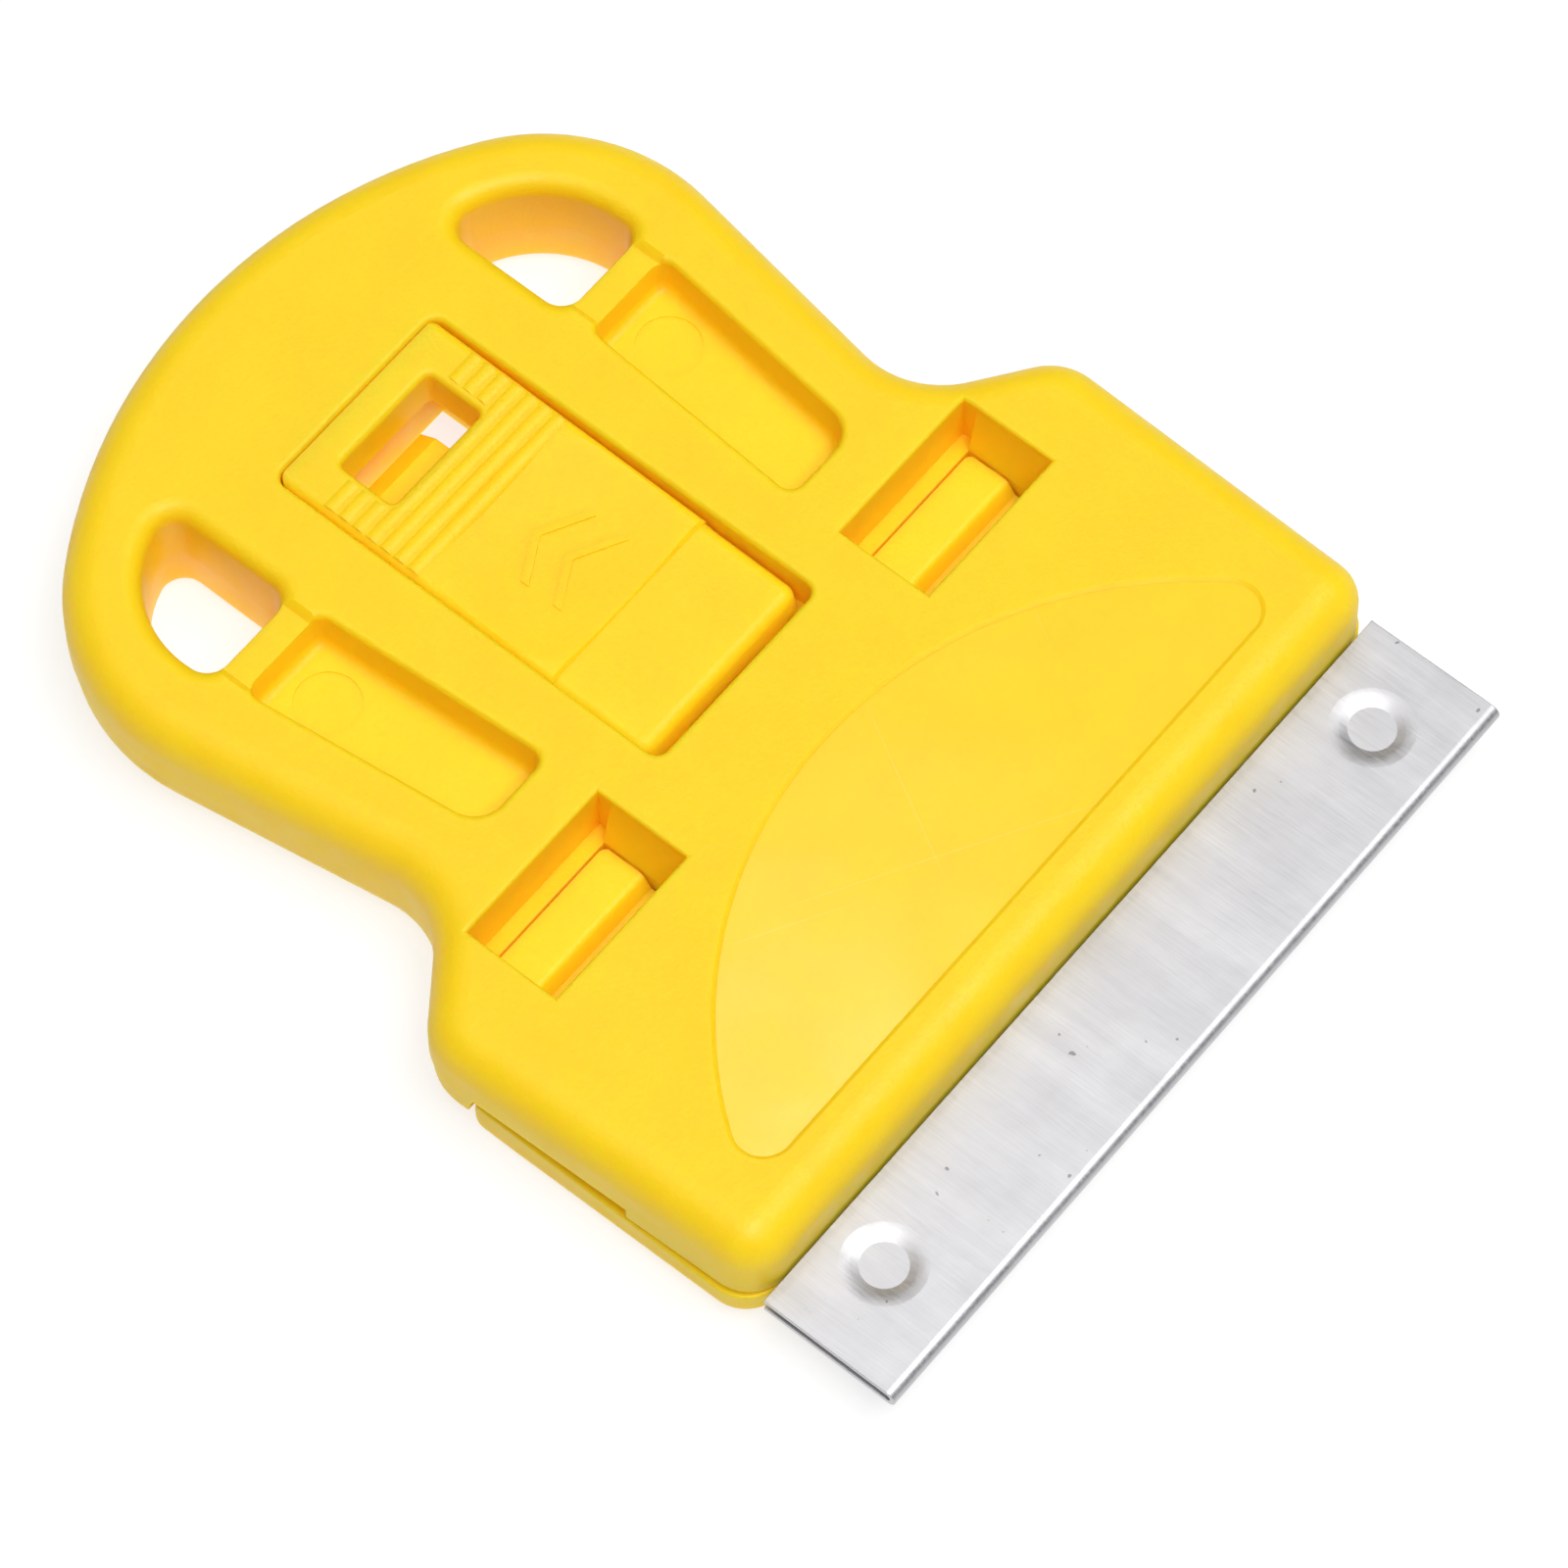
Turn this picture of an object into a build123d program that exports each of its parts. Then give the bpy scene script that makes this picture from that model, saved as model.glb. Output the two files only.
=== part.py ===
# A small razor-blade scraper in moulded plastic: a flat handle with two finger holes, a rocking
# clamp lever (thumb tongue and lower jaw in one moulding) snapped into it from below, a standard
# single-edge razor blade between the jaws and a folded aluminium guard over the blade's edge.
#
# Working frame: millimetres, +Z up (the thumb side), +Y towards the blade, X across the tool.
# y = 0 is near the front of the thumb pocket and z = 0 is the flat underside. export() shifts
# every piece so that the origin is the middle of the tool's underside.
import math
import os

from build123d import *

# ---- handle outline, half widths and stations along Y ----
THICK = 6.2
REAR_Y = -30.2
FRONT_Y = 17.75
REAR_R = 24.3
SHOULDER_R = 9.5
HEAD_HALF_W = 17.8
HEAD_X = HEAD_HALF_W - SHOULDER_R
HEAD_WIDE_Y = REAR_Y + REAR_R - math.sqrt((REAR_R - SHOULDER_R) ** 2 - HEAD_X ** 2)
WAIST_X, WAIST_Y = 15.48, -3.6
SHOULDER_X, SHOULDER_Y = 21.15, 0.55
FRONT_HALF_W = 20.6
WAIST_R, SHOULDER_CORNER_R = 4.2, 2.8
FRONT_CORNER_R = 1.95
PARTING_Z = 3.2
PARTING_STEP = 0.07
UPPER_DRAFT, LOWER_DRAFT = 1.0, 2.5
TOP_ROUND = 1.75
BOTTOM_ROUND = 2.0
LOWER_FRONT_R = 3.0

# ---- finger holes, grip grooves and the ribs between them ----
WALL_R = 5.2
HOLE_ARC_X, HOLE_ARC_Y = 8.75, -18.7
HOLE_X = 9.1
HOLE_Y = -17.4
HOLE_CORNER_R = 0.9
HOLE_DRAFT = 3.0
HOLE_RIM = 0.85
GROOVE_Y0, GROOVE_Y1 = -15.8, -3.9
GROOVE_IN0, GROOVE_IN1 = 8.9, 8.05
GROOVE_OUT0, GROOVE_OUT1 = 13.7, 12.2
GROOVE_DEPTH = 2.0
UNDER_GROOVE_DEPTH = 1.7
GROOVE_DRAFT = 5.0
GROOVE_CORNER_R, GROOVE_OUTER_R = 0.7, 1.5
GROOVE_FOOT_R = 0.45
GROOVE_RIM = 0.3
RIB_DROP = 0.35
RIB_OVERLAP = 0.2
EJECTOR_R = 1.5
EJECTOR_X, EJECTOR_Y = 11.2, -13.35
EJECTOR_SINK = 0.08

# ---- thumb pocket, its ledge and the spring web under the tongue ----
POCKET_HALF_W = 5.2
POCKET_Y0, POCKET_Y1 = -21.4, -0.2
POCKET_CORNER_R = 0.6
POCKET_LIP = 0.25
LEDGE_W = 0.9
LEDGE_Z = THICK - 2.2
WEB_HALF_W = 1.95
WEB_TOP_Z = THICK - 3.4
WEB_T = 2.0
WEB_ROOT_Y = 2.0
WEB_END_Y = -19.6
WEB_BEVEL_Y, WEB_BEVEL_Z = 0.9, 0.6

# ---- jaws: the blade lies at mid height, its spine in a slot that is open at both sides ----
BLADE_T = 0.23
BLADE_Z = 2.385
FIT = 0.02
UPPER_LIP_Z = BLADE_Z + BLADE_T / 2 + FIT
LOWER_LIP_Z = BLADE_Z - BLADE_T / 2 - FIT
LIP_Y = 11.0
SLOT_TOP_Z = 3.2
SLOT_FLOOR_Z = 1.75
SLOT_HALF_W = 19.25
JAW_HALF_W = 20.85
JAW_TIP_RISE = 0.6
JAW_TAPER_Y = 5.0
JAW_ROUND = 0.8
JAW_CORNER_R = 0.85
JAW_RIM_ROUND = 0.1

# ---- pivot of the clamp lever, and the windows above its bosses ----
PIVOT_Y = 1.1
PIVOT_Z = 2.1
OPEN_DEG = 14.0
STOP_GAP = 0.08
NOSE_R = 1.58
NOSE_FOOT_Y = 1.5
ROOT_Y = PIVOT_Y + NOSE_R
ROOT_LEAN = 0.35
HOLLOW_R = 1.76
JAW_REAR_Y = 2.4
LEVER_REACH_Y = 3.8
JOURNAL_R = 0.9
SOCKET_R = 0.96
THROAT_W = 1.5
JOURNAL_L = 1.55
WINDOW_X0, WINDOW_X1 = 7.95, 16.3
WINDOW_Y0, WINDOW_Y1 = -1.2, 3.6
WINDOW_RIM = 0.18
SHELF_Y = -0.48
SHELF_Z = 3.2
BOSS_X0, BOSS_X1 = 8.64, 15.66
BOSS_REAR_Y = -0.36
BOSS_TOP_Z = 3.2
BOSS_CORNER_R = 0.35
BOSS_FRONT_ROUND = 0.35
BOSS_FLAT_Y = 1.75
BOSS_STEP_Y = 2.2
BOSS_STEP_Z = 2.5
BOSS_FOOT_Z = 0.35
CHEEK_TOP_Z, CHEEK_Z = THICK - 0.4, 3.25
CHEEK_GAP = 0.1

# ---- polished panel on the upper jaw ----
PANEL_Y = 15.35
PANEL_R = 20.4
PANEL_ARC_Y = 24.8
PANEL_CORNER_R = 1.5
PANEL_SINK = 0.12
PANEL_EDGE_DRAFT = 58.0

# ---- thumb tongue of the lever: its top slopes down a little towards the jaws ----
TONGUE_GAP = 0.1
TONGUE_REAR_Z = THICK - 0.08
TONGUE_SLOPE = 1.6
TONGUE_LOW_Z = THICK - 2.1
TONGUE_STEP_Y = -6.15
TONGUE_STEP = 0.22
TONGUE_STEP_RUN = 0.15
TONGUE_EDGE_R = 0.5
TONGUE_FRONT_ROUND = 0.6
TONGUE_CORNER_R = 0.7
TONGUE_TIP_Z = THICK - 2.0
TONGUE_TIP_RUN = 1.6
EYE_HALF_W = 2.95
EYE_Y0, EYE_Y1 = -19.8, -16.7
EYE_CORNER_R = 0.35
EYE_DRAFT = 4.0
EYE_RIM = 0.3
RIDGE_COUNT = 7
RIDGE_Y = -18.65
RIDGE_PITCH = 0.77
RIDGE_R = 0.55
RIDGE_H = 0.1
RIDGE_TRIM = 0.28
DISH_Y = -8.26
DISH_R = 5.06
DISH_DEPTH = 0.2
CHEVRON_Y = (-10.9, -9.1)
CHEVRON_HALF_W = 2.2
CHEVRON_REACH = 1.2
CHEVRON_W = 0.45
CHEVRON_H = 0.09
CHEVRON_ROOT = 0.5
LEG_X0, LEG_X1 = 2.5, 4.0
LEG_REAR_Y = -4.2
LEG_FOOT_Y = -2.3
LEG_FOOT_Z = 0.1
LEG_TOP_Z = 2.45
LEG_NECK_Z = 2.75
LEG_FRONT_GAP = 0.15
LEG_SHOULDER_Z = THICK - 1.6

# ---- blade and its folded spine ----
BLADE_W = 38.1
BLADE_DEPTH = 19.05
SPINE_Y = 3.9
SPINE_DEPTH = 6.2
SPINE_T = 1.09
BEVEL = 0.9
EDGE_HALF_T = 0.01
BLADE_CORNER = 0.5

# ---- guard: one aluminium strip folded over the edge ----
GUARD_HALF_W = 20.25
GUARD_REAR_GAP = 0.1
GUARD_FRONT_Y = 24.68
GUARD_T = 0.25
DIMPLES = ((15.9, 20.6), (-16.2, 21.0))
DIMPLE_R = 1.05
DIMPLE_MOUTH_R = 1.65
DIMPLE_DEPTH = 0.15
DIMPLE_JOIN = 0.1
DIMPLE_BLEND_R = 2.0

GUARD_LOW_Z = LOWER_LIP_Z - GUARD_T
GUARD_TOP_Z = BLADE_Z + BLADE_T / 2 + FIT + DIMPLE_DEPTH + GUARD_T
ORIGIN_Y = (REAR_Y + GUARD_FRONT_Y) / 2
OVER = 1.0
REGION_MARGIN = 0.6
AT = 0.01


def slab(x0, x1, y0, y1, z0, z1):
    """A box from its two opposite corners."""
    centre = Pos((x0 + x1) / 2, (y0 + y1) / 2, (z0 + z1) / 2)
    return centre * Box(abs(x1 - x0), abs(y1 - y0), abs(z1 - z0))


def side_profile(points, x0, x1):
    """A prism along X whose section is a polygon of (y, z) points."""
    face = make_face(Polyline(*[(x0, y, z) for y, z in points], close=True))
    return extrude(face, amount=abs(x1 - x0), dir=(1 if x1 > x0 else -1, 0, 0))


def cross_bar(radius, x0, x1):
    """A round bar along X on the pivot axis."""
    bar = Cylinder(radius, abs(x1 - x0), rotation=(0, 90, 0))
    return Pos((x0 + x1) / 2, PIVOT_Y, PIVOT_Z) * bar


def both_sides(shape):
    """A shape on the +X side together with its mirror image."""
    return [shape, mirror(shape, Plane.YZ)]


def outline(front_corner_r):
    """Plan of the handle: round head, waist, square shoulders and straight front."""
    turn = math.degrees(math.asin(HEAD_X / (REAR_R - SHOULDER_R)))
    flank = math.degrees(math.asin((HEAD_HALF_W - WAIST_X) / (WAIST_Y - HEAD_WIDE_Y)))
    rear = CenterArc((0, REAR_Y + REAR_R), REAR_R, -90 - turn, 2 * turn)
    shoulder = CenterArc((HEAD_X, HEAD_WIDE_Y), SHOULDER_R, turn - 90, 90 - turn + flank)
    corners = [(WAIST_X, WAIST_Y), (SHOULDER_X, SHOULDER_Y), (FRONT_HALF_W, FRONT_Y)]
    radii = [WAIST_R, SHOULDER_CORNER_R, front_corner_r]
    side = FilletPolyline(shoulder @ 1, *corners, (0, FRONT_Y), radius=radii)
    half = [shoulder, side]
    return make_face([rear] + half + [mirror(edge, Plane.YZ) for edge in half])


def edges_at(part, z, box=None):
    """Edges of a part that lie flat at one height, inside an optional (x0, x1, y0, y1) box."""
    found = part.edges().filter_by_position(Axis.Z, z - AT, z + AT)
    if box is None:
        return found
    x0, x1, y0, y1 = box
    found = found.filter_by_position(Axis.X, x0, x1)
    return found.filter_by_position(Axis.Y, y0, y1)


def side_regions(x0, x1, y0, y1):
    """One (x0, x1, y0, y1) box on each side of the tool, a little larger than the given one."""
    near, far = x0 - REGION_MARGIN, x1 + REGION_MARGIN
    ends = (y0 - REGION_MARGIN, y1 + REGION_MARGIN)
    return [(near, far, *ends), (-far, -near, *ends)]


def finger_hole_plan():
    """Plan of the +X finger hole: straight inner and front walls, outer wall parallel to the head."""
    round_part = Pos(HOLE_ARC_X, HOLE_ARC_Y) * Circle(WALL_R)
    quarter = Pos(HOLE_X + WALL_R, HOLE_Y - WALL_R) * Rectangle(2 * WALL_R, 2 * WALL_R)
    plan = round_part & quarter
    return fillet(plan.vertices(), HOLE_CORNER_R)


def finger_hole():
    """Cutter for one finger hole, narrowest at the mould's parting plane at mid height."""
    middle = Pos(0, 0, THICK / 2) * finger_hole_plan()
    upper = extrude(middle, amount=THICK / 2 + OVER, taper=-HOLE_DRAFT)
    lower = extrude(middle, amount=-THICK / 2 - OVER, taper=-HOLE_DRAFT)
    return upper + lower


def groove(depth):
    """Cutter for one grip groove with its mouth at z = 0, opening upwards."""
    corners = [(GROOVE_IN0, GROOVE_Y0), (GROOVE_OUT0, GROOVE_Y0)]
    corners += [(GROOVE_OUT1, GROOVE_Y1), (GROOVE_IN1, GROOVE_Y1)]
    radii = [GROOVE_CORNER_R, GROOVE_CORNER_R, GROOVE_OUTER_R, GROOVE_CORNER_R]
    plan = make_face(FilletPolyline(*corners, radius=radii, close=True))
    cutter = extrude(plan, amount=-depth, taper=GROOVE_DRAFT)
    return fillet(edges_at(cutter, -depth), GROOVE_FOOT_R)


def rib_notch():
    """Cutter that lowers the rib between finger hole and groove, with sloping ends."""
    low = THICK - RIB_DROP
    high = THICK + OVER
    slope = RIB_DROP + OVER
    x0, x1 = HOLE_X, GROOVE_OUT0
    points = [(x0 + RIB_DROP, low), (x1 - RIB_DROP, low)]
    points += [(x1 - RIB_DROP + slope, high), (x0 + RIB_DROP - slope, high)]
    y0, y1 = HOLE_Y - OVER, GROOVE_Y0 + RIB_OVERLAP
    face = make_face(Polyline(*[(x, y0, z) for x, z in points], close=True))
    return extrude(face, amount=y1 - y0, dir=(0, 1, 0))


def panel():
    """Shallow D-shaped recess on the upper jaw, arc towards the thumb pocket."""
    disc = Pos(0, PANEL_ARC_Y) * Circle(PANEL_R)
    rear_half = Pos(0, PANEL_Y - PANEL_R) * Rectangle(4 * PANEL_R, 2 * PANEL_R)
    plan = disc & rear_half
    plan = fillet(plan.vertices(), PANEL_CORNER_R)
    return extrude(Pos(0, 0, THICK) * plan, amount=-PANEL_SINK, taper=PANEL_EDGE_DRAFT)


def pocket_plan():
    """Plan of the thumb pocket."""
    length = POCKET_Y1 - POCKET_Y0
    plan = Pos(0, (POCKET_Y0 + POCKET_Y1) / 2) * Rectangle(2 * POCKET_HALF_W, length)
    return fillet(plan.vertices(), POCKET_CORNER_R)


def pocket():
    """Cutter for the thumb pocket: a ledge for the tongue, and clear below between the ledges."""
    upper = extrude(Pos(0, 0, LEDGE_Z) * pocket_plan(), amount=THICK)
    inner = POCKET_HALF_W - LEDGE_W
    lower = slab(-inner, inner, POCKET_Y0 + LEDGE_W, POCKET_Y1, -OVER, THICK)
    under = slab(-inner, inner, POCKET_Y1 - OVER, ROOT_Y + OVER, -OVER, SLOT_TOP_Z)
    return upper + lower + under


def spring_web():
    """Web under the tongue, rooted under the upper jaw, with a bevelled free end."""
    low = WEB_TOP_Z - WEB_T
    points = [(WEB_ROOT_Y, low), (WEB_ROOT_Y, SLOT_TOP_Z), (POCKET_Y1, SLOT_TOP_Z)]
    points += [(POCKET_Y1, WEB_TOP_Z), (WEB_END_Y + WEB_BEVEL_Y, WEB_TOP_Z)]
    points += [(WEB_END_Y, WEB_TOP_Z - WEB_BEVEL_Z), (WEB_END_Y, low)]
    return side_profile(points, -WEB_HALF_W, WEB_HALF_W)


def boss_window():
    """Cutter for the +X window: square over the shelf, its end walls sloping in around the boss."""
    over_shelf = slab(WINDOW_X0, WINDOW_X1, WINDOW_Y0, SHELF_Y, SHELF_Z, THICK + OVER)
    foot_x0, foot_x1 = BOSS_X0 - CHEEK_GAP, BOSS_X1 + CHEEK_GAP
    corners = [(WINDOW_X0, CHEEK_TOP_Z), (foot_x0, CHEEK_Z), (foot_x0, -OVER)]
    corners += [(foot_x1, -OVER), (foot_x1, CHEEK_Z), (WINDOW_X1, CHEEK_TOP_Z)]
    section = make_face(Polyline(*[(x, SHELF_Y, z) for x, z in corners], close=True))
    over_boss = extrude(section, amount=WINDOW_Y1 - SHELF_Y, dir=(0, 1, 0))
    mouth_cut = slab(WINDOW_X0, WINDOW_X1, WINDOW_Y0, WINDOW_Y1, CHEEK_TOP_Z, THICK + OVER)
    return over_shelf + over_boss + mouth_cut


def journal_sockets():
    """Snap-in seats beside the +X window, each a round seat with a narrower throat below."""
    reach = JOURNAL_L + 0.1
    inner = (BOSS_X0 - reach, WINDOW_X0 + OVER)
    outer = (WINDOW_X1 - OVER, BOSS_X1 + reach)
    seats = []
    for x0, x1 in (inner, outer):
        throat = slab(x0, x1, PIVOT_Y - THROAT_W / 2, PIVOT_Y + THROAT_W / 2, -OVER, PIVOT_Z)
        seats += [cross_bar(SOCKET_R, x0, x1), throat]
    return seats


def mouth():
    """Everything below the upper jaw: the blade slot, and the room for the lower jaw."""
    width = SHOULDER_X + OVER
    points = [(NOSE_FOOT_Y, -OVER), (NOSE_FOOT_Y, PIVOT_Z), (ROOT_Y, PIVOT_Z)]
    points += [(ROOT_Y + ROOT_LEAN, SLOT_TOP_Z), (LIP_Y, SLOT_TOP_Z), (LIP_Y, UPPER_LIP_Z)]
    points += [(FRONT_Y + OVER, UPPER_LIP_Z), (FRONT_Y + OVER, -OVER)]
    nose = cross_bar(NOSE_R, -width, width) & slab(-width, width, NOSE_FOOT_Y, ROOT_Y, -OVER, PIVOT_Z)
    return side_profile(points, -width, width) - nose


def shell():
    """The handle's outer form: two drafted halves with a parting line, and the full-width front lip."""
    upper = Pos(0, 0, PARTING_Z) * outline(FRONT_CORNER_R)
    lower = offset(outline(LOWER_FRONT_R), -PARTING_STEP)
    part = extrude(upper, amount=THICK - PARTING_Z, taper=UPPER_DRAFT)
    part = fillet(edges_at(part, THICK), TOP_ROUND)
    base = extrude(Pos(0, 0, PARTING_Z) * lower, amount=-PARTING_Z, taper=LOWER_DRAFT)
    base = fillet(edges_at(base, 0), BOTTOM_ROUND)
    lip_plan = Pos(0, 0, UPPER_LIP_Z) * outline(FRONT_CORNER_R)
    lip = extrude(lip_plan, amount=PARTING_Z - UPPER_LIP_Z)
    lip &= slab(-SHOULDER_X, SHOULDER_X, LIP_Y - OVER, FRONT_Y, UPPER_LIP_Z, PARTING_Z)
    return part + base + lip


def body():
    """The handle moulding."""
    part = shell()
    part -= both_sides(finger_hole())
    for region in side_regions(HOLE_X, HOLE_ARC_X + WALL_R, HOLE_Y - 2 * WALL_R, HOLE_Y):
        part = fillet(edges_at(part, THICK, region), HOLE_RIM)
        part = fillet(edges_at(part, 0, region), HOLE_RIM)
    part -= both_sides(Pos(0, 0, THICK) * groove(GROOVE_DEPTH))
    for region in side_regions(GROOVE_IN1, GROOVE_OUT0, GROOVE_Y0, GROOVE_Y1):
        part = fillet(edges_at(part, THICK, region), GROOVE_RIM)
    under = mirror(groove(UNDER_GROOVE_DEPTH), Plane.XY)
    part -= both_sides(under)
    part -= both_sides(rib_notch())
    floor = THICK - GROOVE_DEPTH
    ejector = Pos(EJECTOR_X, EJECTOR_Y, floor) * Cylinder(EJECTOR_R, 2 * EJECTOR_SINK)
    part -= both_sides(ejector)
    part -= panel()
    part -= pocket()
    lip_region = (-POCKET_HALF_W, POCKET_HALF_W, POCKET_Y0, POCKET_Y1)
    lips = [e for e in edges_at(part, THICK, lip_region) if e.center().Y < POCKET_Y1 - POCKET_CORNER_R]
    part = fillet(lips, POCKET_LIP)
    part -= mouth()
    part -= both_sides(boss_window())
    for region in side_regions(WINDOW_X0, WINDOW_X1, WINDOW_Y0, WINDOW_Y1):
        part = fillet(edges_at(part, THICK, region), WINDOW_RIM)
    part += spring_web()
    for seat in journal_sockets():
        part -= both_sides(seat)
    return part


def front_face_y(z):
    """Where the tongue's front face lies: it meets the pocket's end wall when fully open."""
    turn = math.radians(OPEN_DEG)
    wall = POCKET_Y1 - PIVOT_Y - STOP_GAP
    return PIVOT_Y + (wall - (z - PIVOT_Z) * math.sin(turn)) / math.cos(turn)


def tongue_top(y):
    """Height of the tongue's top at a station along Y; the front field lies one step lower."""
    fall = (y - POCKET_Y0) * math.tan(math.radians(TONGUE_SLOPE))
    step = TONGUE_STEP if y >= TONGUE_STEP_Y else 0
    return TONGUE_REAR_Z - fall - step


def rounded_section(y0, y1):
    """A bar along the tongue between two stations, its upper side edges rounded."""
    half = POCKET_HALF_W - TONGUE_GAP
    top = tongue_top(y0)
    corners = [(-half, top), (half, top), (half, 0), (-half, 0)]
    points = [(x, y0, z) for x, z in corners]
    radii = [TONGUE_EDGE_R, TONGUE_EDGE_R, AT, AT]
    plan = make_face(FilletPolyline(*points, radius=radii, close=True))
    fall = math.tan(math.radians(TONGUE_SLOPE))
    return extrude(plan, amount=(y1 - y0) * math.hypot(1, fall), dir=(0, 1, -fall))


def tongue_plate():
    """The tongue's plain plate: sloping top with a step, leaning front face, rounded edges."""
    half = POCKET_HALF_W - TONGUE_GAP
    rear = POCKET_Y0 + TONGUE_GAP
    before_step = TONGUE_STEP_Y - TONGUE_STEP_RUN
    tip_top = tongue_top(POCKET_Y1 - OVER)
    tip = front_face_y(TONGUE_TIP_Z)
    points = [(rear, TONGUE_LOW_Z), (LEG_REAR_Y, TONGUE_LOW_Z), (tip - TONGUE_TIP_RUN, TONGUE_TIP_Z)]
    points += [(tip, TONGUE_TIP_Z), (front_face_y(tip_top), tip_top)]
    points += [(TONGUE_STEP_Y, tongue_top(TONGUE_STEP_Y)), (before_step, tongue_top(before_step))]
    points += [(rear, tongue_top(rear))]
    plate = side_profile(points, -half, half)
    ends = plate.edges().filter_by(Axis.Z).sort_by(Axis.Y)
    plate = fillet(ends[:2], POCKET_CORNER_R - TONGUE_GAP)
    beside = [e for e in plate.edges() if abs(e.center().X) > half - AT and e.center().Y > tip - OVER]
    leaning = [e for e in beside if abs(e.tangent_at(0).Z) > abs(e.tangent_at(0).Y)]
    plate = fillet(leaning, TONGUE_CORNER_R)
    brow = [e for e in edges_at(plate, tip_top) if e.center().Y > front_face_y(tip_top) - TONGUE_CORNER_R]
    plate = fillet(brow, TONGUE_FRONT_ROUND)
    behind = rounded_section(rear - OVER, TONGUE_STEP_Y)
    return plate & (behind + rounded_section(TONGUE_STEP_Y, 0))


def dish():
    """Cutter for the shallow round dish in the tongue."""
    ball_r = (DISH_R ** 2 + DISH_DEPTH ** 2) / (2 * DISH_DEPTH)
    return Pos(0, DISH_Y, tongue_top(DISH_Y) - DISH_DEPTH + ball_r) * Sphere(ball_r)


def eye(margin):
    """Cutter for the window in the tongue, made larger all round by a margin."""
    length = EYE_Y1 - EYE_Y0 + 2 * margin
    plan = Pos(0, (EYE_Y0 + EYE_Y1) / 2) * Rectangle(2 * (EYE_HALF_W + margin), length)
    plan = fillet(plan.vertices(), EYE_CORNER_R + margin)
    return extrude(Pos(0, 0, THICK) * plan, amount=-THICK, taper=EYE_DRAFT)


def ridges():
    """Grip ridges across the tongue: part-sunk round bars with trimmed ends."""
    half = POCKET_HALF_W - TONGUE_GAP - RIDGE_TRIM
    bars = []
    for i in range(RIDGE_COUNT):
        y = RIDGE_Y + i * RIDGE_PITCH
        centre = Pos(0, y, tongue_top(y) + RIDGE_H - RIDGE_R)
        bars.append(centre * Cylinder(RIDGE_R, 2 * half, rotation=(0, 90, 0)))
    return bars


def tongue():
    """The thumb tongue, lying in the pocket: window, ridges, dish and a lower front field."""
    plate = tongue_plate() - dish() - eye(0)
    rim = [e for e in plate.edges() if e.center().Z > THICK - OVER and abs(e.center().X) < EYE_HALF_W + AT]
    rim = [e for e in rim if EYE_Y0 - AT < e.center().Y < EYE_Y1 + AT]
    plate = fillet(rim, EYE_RIM)
    for bar in ridges():
        plate += bar - eye(EYE_RIM)
    for y in CHEVRON_Y:
        plate += chevron(y)
    return plate


def chevron(y):
    """One raised arrow mark in the dish, pointing at the ridges."""
    tip = y - CHEVRON_REACH / 2
    tail = y + CHEVRON_REACH / 2
    points = [(0, tip), (CHEVRON_HALF_W, tail), (CHEVRON_HALF_W, tail + CHEVRON_W)]
    points += [(0, tip + CHEVRON_W), (-CHEVRON_HALF_W, tail + CHEVRON_W), (-CHEVRON_HALF_W, tail)]
    plan = make_face(Polyline(*points, close=True))
    top = tongue_top(y) - DISH_DEPTH + CHEVRON_H
    return extrude(Pos(0, 0, top) * plan, amount=-CHEVRON_ROOT)


def lower_jaw():
    """The jaw plate under the blade: raised lip in front, pocket for the blade's spine behind it."""
    width = SHOULDER_X + OVER
    corners = [(-JAW_HALF_W, JAW_REAR_Y), (JAW_HALF_W, JAW_REAR_Y)]
    corners += [(JAW_HALF_W, FRONT_Y), (-JAW_HALF_W, FRONT_Y)]
    radii = [JAW_CORNER_R, JAW_CORNER_R, FRONT_CORNER_R, FRONT_CORNER_R]
    plate = extrude(make_face(FilletPolyline(*corners, radius=radii, close=True)), amount=LOWER_LIP_Z)
    far = FRONT_Y + OVER
    wedge = [(JAW_TAPER_Y, 0), (far, JAW_TIP_RISE), (far, -OVER), (JAW_TAPER_Y, -OVER)]
    plate -= side_profile(wedge, -width, width)
    below = [e for e in plate.edges() if e.center().Z < JAW_TIP_RISE and e.center().Y > JAW_REAR_Y + AT]
    plate = fillet(below, JAW_ROUND)
    plate = fillet(edges_at(plate, LOWER_LIP_Z), JAW_RIM_ROUND)
    plate -= cross_bar(HOLLOW_R, -width, width)
    half = SLOT_HALF_W
    return plate - slab(-half, half, 0, LIP_Y, SLOT_FLOOR_Z, LOWER_LIP_Z + OVER)


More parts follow.
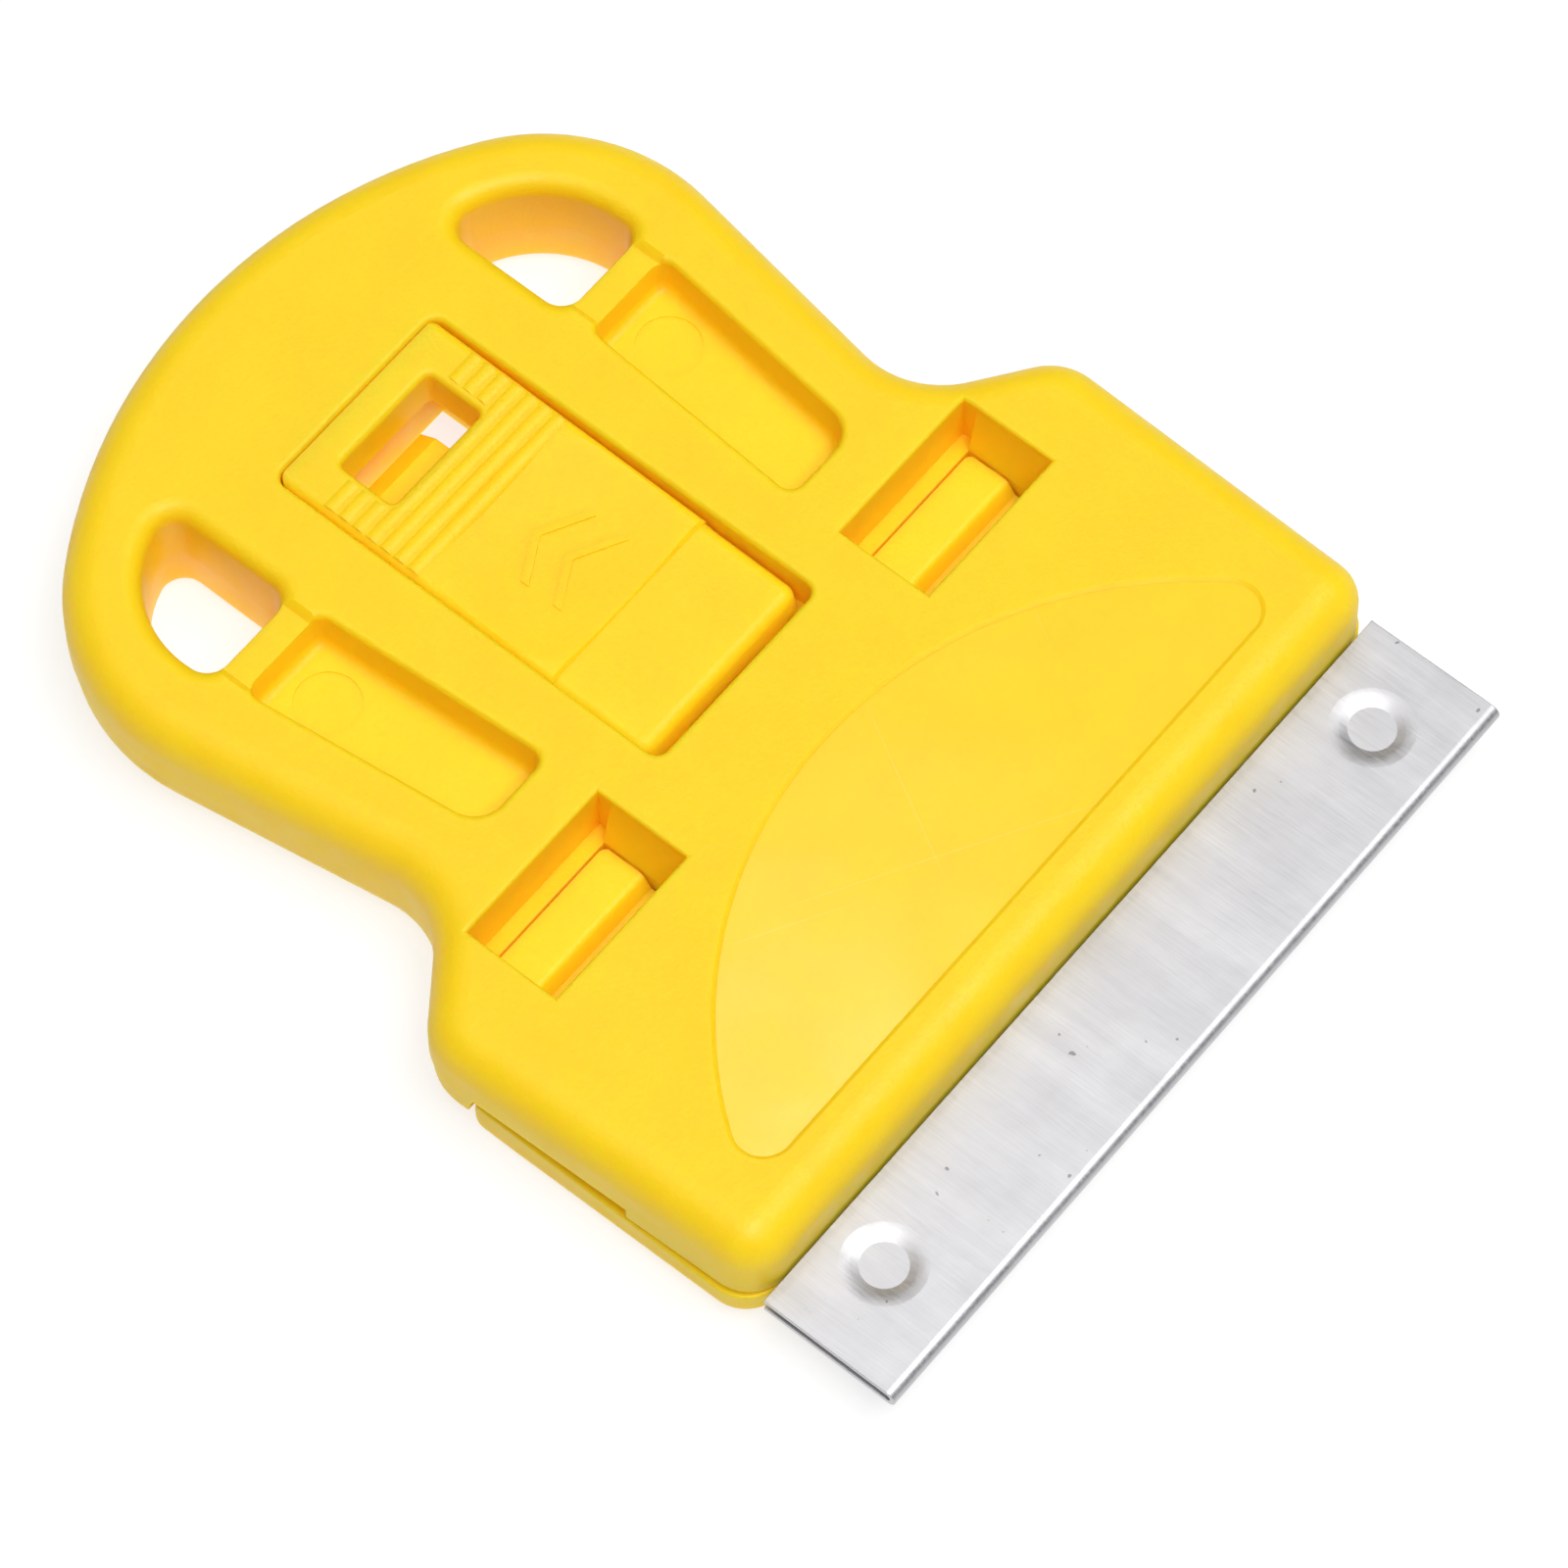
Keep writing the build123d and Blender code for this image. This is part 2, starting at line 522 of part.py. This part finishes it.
def boss():
    """The +X pivot boss seen through the window, round below the pivot, with a journal on each end."""
    r = PIVOT_Y - BOSS_REAR_Y
    points = [(PIVOT_Y, PIVOT_Z), (BOSS_REAR_Y, PIVOT_Z), (BOSS_REAR_Y, BOSS_TOP_Z)]
    points += [(BOSS_FLAT_Y, BOSS_TOP_Z), (BOSS_STEP_Y, BOSS_STEP_Z), (LEVER_REACH_Y, BOSS_STEP_Z)]
    points += [(LEVER_REACH_Y, BOSS_FOOT_Z), (PIVOT_Y, PIVOT_Z - r)]
    block = side_profile(points, BOSS_X0, BOSS_X1)
    rear_corners = block.edges().filter_by(Axis.Z).group_by(Axis.Y)[0]
    block = fillet(rear_corners, BOSS_CORNER_R)
    brow = [e for e in edges_at(block, BOSS_TOP_Z) if e.center().Y > BOSS_FLAT_Y - AT]
    block = fillet(brow, BOSS_FRONT_ROUND)
    rear_half = slab(BOSS_X0, BOSS_X1, BOSS_REAR_Y - OVER, PIVOT_Y, PIVOT_Z - 2 * r, PIVOT_Z)
    block += cross_bar(r, BOSS_X0, BOSS_X1) & rear_half
    inner = cross_bar(JOURNAL_R, BOSS_X0 - JOURNAL_L, BOSS_X0 + OVER)
    outer = cross_bar(JOURNAL_R, BOSS_X1 - OVER, BOSS_X1 + JOURNAL_L)
    return block + inner + outer


def leg():
    """The +X leg that joins the tongue to the lower jaw beside the web."""
    points = [(front_face_y(LEG_SHOULDER_Z), LEG_SHOULDER_Z), (front_face_y(LEG_NECK_Z), LEG_NECK_Z)]
    points += [(POCKET_Y1 - LEG_FRONT_GAP, LEG_TOP_Z), (LEVER_REACH_Y, LEG_TOP_Z), (LEVER_REACH_Y, LEG_FOOT_Z)]
    points += [(LEG_FOOT_Y, LEG_FOOT_Z), (LEG_REAR_Y, LEDGE_Z), (LEG_REAR_Y, LEG_SHOULDER_Z)]
    return side_profile(points, LEG_X0, LEG_X1)


def clamp_lever():
    """Tongue, legs, pivot bosses and lower jaw, moulded in one piece."""
    part = tongue() + lower_jaw()
    part += both_sides(leg())
    part += both_sides(boss())
    return part


def razor_blade():
    """The blade sheet, ground to an edge on its front."""
    back = SPINE_Y + SPINE_T / 2 - BLADE_T / 2
    edge = SPINE_Y + BLADE_DEPTH
    half_t = BLADE_T / 2
    points = [(back, BLADE_Z - half_t), (edge - BEVEL, BLADE_Z - half_t), (edge, BLADE_Z - EDGE_HALF_T)]
    points += [(edge, BLADE_Z + EDGE_HALF_T), (edge - BEVEL, BLADE_Z + half_t), (back, BLADE_Z + half_t)]
    sheet = side_profile(points, -BLADE_W / 2, BLADE_W / 2)
    corner = make_face(Polyline((0, 0), (-BLADE_CORNER, 0), (0, -BLADE_CORNER), close=True))
    trim = extrude(Pos(BLADE_W / 2, edge, 0) * corner, amount=THICK)
    return sheet - both_sides(trim)


def blade_spine():
    """The stiff back of the blade: a strip folded over the sheet's rear edge."""
    outer_r = SPINE_T / 2
    inner_r = BLADE_T / 2
    fold_y = SPINE_Y + outer_r
    front = SPINE_Y + SPINE_DEPTH
    half = BLADE_W / 2
    leaves = slab(-half, half, fold_y, front, BLADE_Z - outer_r, BLADE_Z + outer_r)
    roll = Pos(0, fold_y, BLADE_Z) * Cylinder(outer_r, BLADE_W, rotation=(0, 90, 0))
    bore = Pos(0, fold_y, BLADE_Z) * Cylinder(inner_r, BLADE_W + OVER, rotation=(0, 90, 0))
    gap = slab(-half - OVER, half + OVER, fold_y - inner_r, front + OVER, BLADE_Z - inner_r, BLADE_Z + inner_r)
    return leaves + roll - bore - gap


def dimple(x, y):
    """One dimple of the guard's upper leaf: a flat pressed disc in a funnel, and the hole it fills."""
    disc_low = GUARD_TOP_Z - GUARD_T - DIMPLE_DEPTH
    disc_top = GUARD_TOP_Z - DIMPLE_DEPTH
    rim_r = DIMPLE_MOUTH_R + DIMPLE_JOIN
    points = [(0, disc_low), (DIMPLE_R + DIMPLE_JOIN, disc_low), (rim_r, GUARD_TOP_Z - GUARD_T)]
    points += [(rim_r, GUARD_TOP_Z), (DIMPLE_MOUTH_R, GUARD_TOP_Z), (DIMPLE_R, disc_top), (0, disc_top)]
    face = make_face(Polyline(*[(r, 0, z) for r, z in points], close=True))
    cup = revolve(face, Axis.Z)
    hole = Pos(0, 0, GUARD_TOP_Z) * Cylinder(rim_r, 2 * GUARD_T + DIMPLE_JOIN)
    place = Pos(x, y, 0)
    return place * hole, place * cup


def blade_guard():
    """The folded guard: two leaves joined by a round fold in front of the edge."""
    outer_r = (GUARD_TOP_Z - GUARD_LOW_Z) / 2
    inner_r = outer_r - GUARD_T
    fold_y = GUARD_FRONT_Y - outer_r
    mid_z = GUARD_LOW_Z + outer_r
    rear = FRONT_Y + GUARD_REAR_GAP
    half = GUARD_HALF_W
    leaves = slab(-half, half, rear, fold_y, GUARD_LOW_Z, GUARD_TOP_Z)
    roll = Pos(0, fold_y, mid_z) * Cylinder(outer_r, 2 * half, rotation=(0, 90, 0))
    hollow = Pos(0, fold_y, mid_z) * Cylinder(inner_r, 2 * half + OVER, rotation=(0, 90, 0))
    gap = slab(-half - OVER, half + OVER, rear - OVER, fold_y, mid_z - inner_r, mid_z + inner_r)
    part = leaves + roll - hollow - gap
    for x, y in DIMPLES:
        hole, cup = dimple(x, y)
        part = part - hole + cup
    rims = [e for e in edges_at(part, GUARD_TOP_Z) if e.geom_type == GeomType.CIRCLE]
    return fillet(rims, DIMPLE_BLEND_R)


def export(name, shape):
    """Write one node in the row frame: origin at the middle of the underside."""
    placed = Pos(0, -ORIGIN_Y, 0) * shape
    export_step(placed, f"parts/{name}.step")


os.makedirs("parts", exist_ok=True)
export("handle_body", body())
export("clamp_lever", clamp_lever())
export("razor_blade", razor_blade())
export("blade_spine", blade_spine())
export("blade_guard", blade_guard())
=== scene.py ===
import math

import bpy
from mathutils import Matrix, Vector


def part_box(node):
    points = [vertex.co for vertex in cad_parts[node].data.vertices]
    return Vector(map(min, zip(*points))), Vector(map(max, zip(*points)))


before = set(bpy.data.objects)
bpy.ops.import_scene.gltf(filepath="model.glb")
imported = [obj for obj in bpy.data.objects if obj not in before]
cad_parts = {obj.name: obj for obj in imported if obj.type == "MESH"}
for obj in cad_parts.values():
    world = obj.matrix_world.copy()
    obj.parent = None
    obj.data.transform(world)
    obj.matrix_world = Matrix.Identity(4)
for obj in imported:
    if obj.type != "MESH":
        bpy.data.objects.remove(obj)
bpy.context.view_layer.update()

MM = 0.001
PER_MM = 1000.0
HIGH = Vector(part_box("handle_body")[1])

# ---------------------------------------------------------------- camera
CAMERA_AT = Vector((116.56, 103.16, 295.42)) * MM
CAMERA_AIM = Vector((1.60, 6.33, 3.10)) * MM
CAMERA_ROLL = 0.773
LENS = 180.0
SENSOR = 36.0
CLIP_NEAR, CLIP_FAR = 0.01, 10.0


def add_camera():
    """A long lens looking down at the tool from its blade end, turned a little about its own axis."""
    data = bpy.data.cameras.new("camera")
    data.lens = LENS
    data.sensor_width = SENSOR
    data.clip_start = CLIP_NEAR
    data.clip_end = CLIP_FAR
    camera = bpy.data.objects.new("camera", data)
    bpy.context.scene.collection.objects.link(camera)
    look = (CAMERA_AIM - CAMERA_AT).to_track_quat("-Z", "Y").to_matrix().to_4x4()
    roll = Matrix.Rotation(math.radians(-CAMERA_ROLL), 4, "Z")
    camera.matrix_world = Matrix.Translation(CAMERA_AT) @ look @ roll
    bpy.context.scene.camera = camera


add_camera()

# ---------------------------------------------------------------- node helpers
WHITE = (1.0, 1.0, 1.0, 1.0)
# For each kind of Mix node: its two value inputs and its output.
MIX_SOCKETS = {"FLOAT": (2, 3, 0), "RGBA": (6, 7, 2)}
# The range that most of a fractal noise falls in.
NOISE_LOW, NOISE_HIGH = 0.3, 0.7


def set_sockets(node, values):
    """Set a node's input sockets by name."""
    for name, value in values.items():
        node.inputs[name].default_value = value


def add_node(tree, kind, sockets=None, **settings):
    """A node with its own settings and the values of its unlinked sockets."""
    node = tree.nodes.new(kind)
    for name, value in settings.items():
        setattr(node, name, value)
    set_sockets(node, sockets or {})
    return node


def feed(tree, source, target):
    """Give an input socket the output of another node, or a constant."""
    if isinstance(source, bpy.types.NodeSocket):
        tree.links.new(source, target)
    else:
        target.default_value = source


def math_node(tree, operation, first, second):
    """One arithmetic step: each operand is a socket or a number."""
    node = add_node(tree, "ShaderNodeMath", operation=operation)
    feed(tree, first, node.inputs[0])
    feed(tree, second, node.inputs[1])
    return node.outputs[0]


def product(tree, *factors):
    """All the factors multiplied together."""
    total = factors[0]
    for factor in factors[1:]:
        total = math_node(tree, "MULTIPLY", total, factor)
    return total


def weighted(tree, first, share, second):
    """A sum of two values: the first has this share and the second has the rest."""
    return math_node(tree, "ADD", product(tree, first, share), product(tree, second, 1.0 - share))


def mixed(tree, kind, factor, first, second):
    """A blend of two numbers or of two colours, each a socket or a constant."""
    node = add_node(tree, "ShaderNodeMix", data_type=kind)
    first_socket, second_socket, output = MIX_SOCKETS[kind]
    feed(tree, factor, node.inputs["Factor"])
    feed(tree, first, node.inputs[first_socket])
    feed(tree, second, node.inputs[second_socket])
    return node.outputs[output]


def noise(tree, coords, scale, detail, turn=0.0):
    """Fractal noise from 0 to 1: its scale is features per millimetre along X, Y and Z."""
    spin = add_node(tree, "ShaderNodeMapping", {"Rotation": (0, 0, math.radians(turn))})
    feed(tree, coords, spin.inputs["Vector"])
    stretch = add_node(tree, "ShaderNodeMapping", {"Scale": [s * PER_MM for s in scale]})
    feed(tree, spin.outputs[0], stretch.inputs["Vector"])
    node = add_node(tree, "ShaderNodeTexNoise", {"Scale": 1.0, "Detail": detail})
    feed(tree, stretch.outputs[0], node.inputs["Vector"])
    return node.outputs["Fac"]


def remap(tree, value, lowest, highest, to_low=0.0, to_high=1.0):
    """A value's range moved to another range, with its ends held."""
    sockets = {"From Min": lowest, "From Max": highest, "To Min": to_low, "To Max": to_high}
    node = add_node(tree, "ShaderNodeMapRange", sockets)
    feed(tree, value, node.inputs["Value"])
    return node.outputs[0]


def bump(tree, height, depth_mm, normal=None):
    """A relief of this depth on top of an optional earlier normal."""
    node = add_node(tree, "ShaderNodeBump", {"Strength": 1.0, "Distance": depth_mm * MM})
    feed(tree, height, node.inputs["Height"])
    if normal is not None:
        feed(tree, normal, node.inputs["Normal"])
    return node.outputs[0]


def new_material(name):
    """A fresh node material: returns it with its tree, its main shader and its object coordinates."""
    material = bpy.data.materials.new(name)
    material.use_nodes = True
    tree = material.node_tree
    coords = add_node(tree, "ShaderNodeTexCoord").outputs["Object"]
    return material, tree, tree.nodes["Principled BSDF"], coords


# ---------------------------------------------------------------- light and floor
FLOOR_GAP = 0.02 * MM
FLOOR_SIZE = 6.0
FLOOR_TONE, FLOOR_GLOW = 0.3, 0.72
FLOOR_ROUGHNESS = 0.9
SKY_HORIZON, SKY_ZENITH = 0.06, 1.1
SKY_RISE = (0.68, 0.88)
CEILING = 1.0
# Each light panel: its range along X, its range along Y and its radiance.
SOFT_BOX = ((-0.4, 0.4), (0.08, 0.64), 6.3)
PANEL_GLINT = ((-0.34, -0.3), (-0.285, -0.245), 40.0)


def ceiling_light(name, x_range, y_range, radiance):
    """A light panel that hangs level over the tool and shines straight down."""
    data = bpy.data.lights.new(name, "AREA")
    data.shape = "RECTANGLE"
    data.size = x_range[1] - x_range[0]
    data.size_y = y_range[1] - y_range[0]
    data.energy = radiance * math.pi * data.size * data.size_y
    lamp = bpy.data.objects.new(name, data)
    bpy.context.scene.collection.objects.link(lamp)
    lamp.location = (sum(x_range) / 2, sum(y_range) / 2, CEILING)


def add_floor():
    """A plain floor that shows white mostly by its own glow, like a light table."""
    bpy.ops.mesh.primitive_plane_add(size=FLOOR_SIZE, location=(0, 0, -FLOOR_GAP))
    floor = bpy.context.object
    floor.name = "floor"
    paint = bpy.data.materials.new("floor_paint")
    paint.use_nodes = True
    set_sockets(paint.node_tree.nodes["Principled BSDF"], {
        "Base Color": (FLOOR_TONE, FLOOR_TONE, FLOOR_TONE, 1.0),
        "Roughness": FLOOR_ROUGHNESS,
        "Specular IOR Level": 0.0,
        "Emission Color": WHITE,
        "Emission Strength": FLOOR_GLOW,
    })
    floor.data.materials.append(paint)


def add_sky():
    """A soft glow overhead that falls away towards the horizon."""
    world = bpy.data.worlds.new("surround")
    bpy.context.scene.world = world
    world.use_nodes = True
    tree = world.node_tree
    background = tree.nodes["Background"]
    direction = add_node(tree, "ShaderNodeTexCoord").outputs["Generated"]
    height = add_node(tree, "ShaderNodeSeparateXYZ")
    feed(tree, direction, height.inputs[0])
    strength = remap(tree, height.outputs["Z"], *SKY_RISE, SKY_HORIZON, SKY_ZENITH)
    feed(tree, strength, background.inputs["Strength"])
    feed(tree, WHITE, background.inputs["Color"])


add_floor()
add_sky()
ceiling_light("soft_box", *SOFT_BOX)
ceiling_light("panel_glint", *PANEL_GLINT)

# ---------------------------------------------------------------- yellow plastic
YELLOW = (0.985, 0.66, 0.01, 1.0)
YELLOW_DEEP = (0.975, 0.63, 0.01, 1.0)
YELLOW_SCUFFED = (1.0, 0.78, 0.22, 1.0)
PLASTIC = {
    "Subsurface Weight": 0.65,
    "Subsurface Radius": (1.0, 0.5, 0.08),
    "Subsurface Scale": 2.2 * MM,
    "IOR": 1.46,
    "Specular IOR Level": 0.37,
}
# Each noise: its features per millimetre along X, Y and Z, and its level of detail.
MOTTLE = ((0.3, 0.3, 0.3), 3.0)
SMEARS = ((0.8, 0.8, 0.8), 3.0)
SPARK = ((5.5, 5.5, 5.5), 2.0)
SPARK_DEPTH = 0.02
SWAY = ((0.16, 0.16, 0.16), 1.0)
SWAY_DEPTH = 0.03
MATTE_ROUGHNESS = (0.38, 0.52)

# The polished panel: a disc cut off by a straight front edge, and its range of heights.
PANEL_FRONT_Y = HIGH.y - 2.4 * MM
PANEL_ARC_Y = PANEL_FRONT_Y + 9.45 * MM
PANEL_R = 20.4 * MM
PANEL_Z = (HIGH.z - 0.2 * MM, HIGH.z - 0.11 * MM)
HAZE = ((0.25, 0.25, 0.25), 2.0)
HAZE_RANGE = (0.35, 0.65)
POLISHED_ROUGHNESS = (0.13, 0.19)

# The panel's scuff lines: for each direction its turn in degrees and the noise level of a line.
SCUFFS = ((30.0, 0.78), (-61.0, 0.80))
SCUFF_LINES = ((0.05, 5.0, 0.2), 0.0)
SCUFF_FADE = 0.03
SCUFF_PLACES = ((0.12, 0.12, 0.12), 1.0)
SCUFF_PLACES_RANGE = (0.52, 0.62)
SCUFF_STRENGTH = 0.2


def panel_mask(tree, coords):
    """1 on the polished D-shaped panel of the upper jaw, 0 elsewhere."""
    place = add_node(tree, "ShaderNodeSeparateXYZ")
    feed(tree, coords, place.inputs[0])
    x, y, z = place.outputs
    along = math_node(tree, "SUBTRACT", y, PANEL_ARC_Y)
    x_squared = math_node(tree, "POWER", x, 2.0)
    along_squared = math_node(tree, "POWER", along, 2.0)
    distance_squared = math_node(tree, "ADD", x_squared, along_squared)
    in_arc = math_node(tree, "LESS_THAN", distance_squared, PANEL_R ** 2)
    in_front = math_node(tree, "LESS_THAN", y, PANEL_FRONT_Y)
    above = math_node(tree, "GREATER_THAN", z, PANEL_Z[0])
    below = math_node(tree, "LESS_THAN", z, PANEL_Z[1])
    return product(tree, in_arc, in_front, above, below)


def scuff_lines(tree, coords, turn, start):
    """Thin straight scuff lines in one direction, broken up and rare."""
    lines = noise(tree, coords, *SCUFF_LINES, turn)
    places = noise(tree, coords, *SCUFF_PLACES)
    lines = remap(tree, lines, start, start + SCUFF_FADE)
    return product(tree, lines, remap(tree, places, *SCUFF_PLACES_RANGE))


def yellow_plastic(name, has_panel):
    """Moulded plastic with a fine spark texture; the handle has a polished panel as well."""
    material, tree, shader, coords = new_material(name)
    set_sockets(shader, PLASTIC)
    mottle = remap(tree, noise(tree, coords, *MOTTLE), NOISE_LOW, NOISE_HIGH)
    colour = mixed(tree, "RGBA", mottle, YELLOW, YELLOW_DEEP)
    smears = noise(tree, coords, *SMEARS)
    gloss = remap(tree, smears, NOISE_LOW, NOISE_HIGH, *MATTE_ROUGHNESS)
    relief = noise(tree, coords, *SPARK)
    if has_panel:
        mask = panel_mask(tree, coords)
        relief = product(tree, relief, math_node(tree, "SUBTRACT", 1.0, mask))
        polished = remap(tree, noise(tree, coords, *HAZE), *HAZE_RANGE, *POLISHED_ROUGHNESS)
        gloss = mixed(tree, "FLOAT", mask, gloss, polished)
        first, second = (scuff_lines(tree, coords, *scuff) for scuff in SCUFFS)
        scuffs = product(tree, math_node(tree, "ADD", first, second), mask, SCUFF_STRENGTH)
        colour = mixed(tree, "RGBA", scuffs, colour, YELLOW_SCUFFED)
    normal = bump(tree, noise(tree, coords, *SWAY), SWAY_DEPTH)
    feed(tree, colour, shader.inputs["Base Color"])
    feed(tree, gloss, shader.inputs["Roughness"])
    feed(tree, bump(tree, relief, SPARK_DEPTH, normal), shader.inputs["Normal"])
    return material


# ---------------------------------------------------------------- metals
# Each noise is written as those of the plastic; the rolling lines run along Y.
FINE_LINES = ((9.0, 0.5, 9.0), 3.0)
BROAD_LINES = ((1.2, 0.1, 1.2), 2.0)
CLOUDS = ((0.35, 0.35, 0.35), 3.0)
CLOUD_DEPTH = 0.02
SPECKS = ((2.6, 2.6, 2.6), 0.0)
FINE_SHARE = 0.55
LINE_SHARE = 0.7
TONE_RANGE = (0.36, 0.64)
ROUGHNESS_SPREAD = 0.07
PIT_RANGE = (0.86, 0.89)
PIT_STRENGTH = 0.6
PIT_COLOUR = (0.12, 0.11, 0.10, 1.0)
EDGE_R = 0.05 * MM
EDGE_SAMPLES = 6


def rolled_metal(name, dark, pale, roughness, line_depth_mm, pitted=False):
    """Sheet metal with fine rolling lines along Y, and small dark pits if it is worn."""
    material, tree, shader, coords = new_material(name)
    shader.inputs["Metallic"].default_value = 1.0
    fine = noise(tree, coords, *FINE_LINES)
    lines = weighted(tree, fine, FINE_SHARE, noise(tree, coords, *BROAD_LINES))
    clouds = noise(tree, coords, *CLOUDS)
    tone = remap(tree, weighted(tree, lines, LINE_SHARE, clouds), *TONE_RANGE)
    colour = mixed(tree, "RGBA", tone, dark, pale)
    if pitted:
        pits = remap(tree, noise(tree, coords, *SPECKS), *PIT_RANGE, 0.0, PIT_STRENGTH)
        colour = mixed(tree, "RGBA", pits, colour, PIT_COLOUR)
    smooth, rough = roughness - ROUGHNESS_SPREAD, roughness + ROUGHNESS_SPREAD
    gloss = remap(tree, fine, NOISE_LOW, NOISE_HIGH, smooth, rough)
    soft_edges = add_node(tree, "ShaderNodeBevel", {"Radius": EDGE_R}, samples=EDGE_SAMPLES)
    normal = bump(tree, clouds, CLOUD_DEPTH, soft_edges.outputs[0])
    feed(tree, colour, shader.inputs["Base Color"])
    feed(tree, gloss, shader.inputs["Roughness"])
    feed(tree, bump(tree, lines, line_depth_mm, normal), shader.inputs["Normal"])
    return material


# ---------------------------------------------------------------- the pieces
# Each metal: its dark and pale colours, its roughness and the depth of its lines in millimetres.
BLADE_STEEL = ((0.54, 0.55, 0.57, 1.0), (0.62, 0.63, 0.65, 1.0), 0.34, 0.0015)
SPINE_STEEL = ((0.50, 0.51, 0.53, 1.0), (0.60, 0.61, 0.63, 1.0), 0.4, 0.003)
GUARD_ALUMINIUM = ((0.52, 0.517, 0.535, 1.0), (0.64, 0.637, 0.655, 1.0), 0.5, 0.008)
DIFFUSE_BOUNCES, MAX_BOUNCES = 12, 14


def give(node, material):
    """Put one material on every slot of a node."""
    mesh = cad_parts[node].data
    if len(mesh.materials) == 0:
        mesh.materials.append(material)
    for i in range(len(mesh.materials)):
        mesh.materials[i] = material


give("handle_body", yellow_plastic("handle_plastic", has_panel=True))
give("clamp_lever", yellow_plastic("lever_plastic", has_panel=False))
give("razor_blade", rolled_metal("blade_steel", *BLADE_STEEL))
give("blade_spine", rolled_metal("spine_steel", *SPINE_STEEL))
give("blade_guard", rolled_metal("guard_aluminium", *GUARD_ALUMINIUM, pitted=True))

bpy.context.scene.view_settings.view_transform = "Standard"
bpy.context.scene.cycles.diffuse_bounces = DIFFUSE_BOUNCES
bpy.context.scene.cycles.max_bounces = MAX_BOUNCES
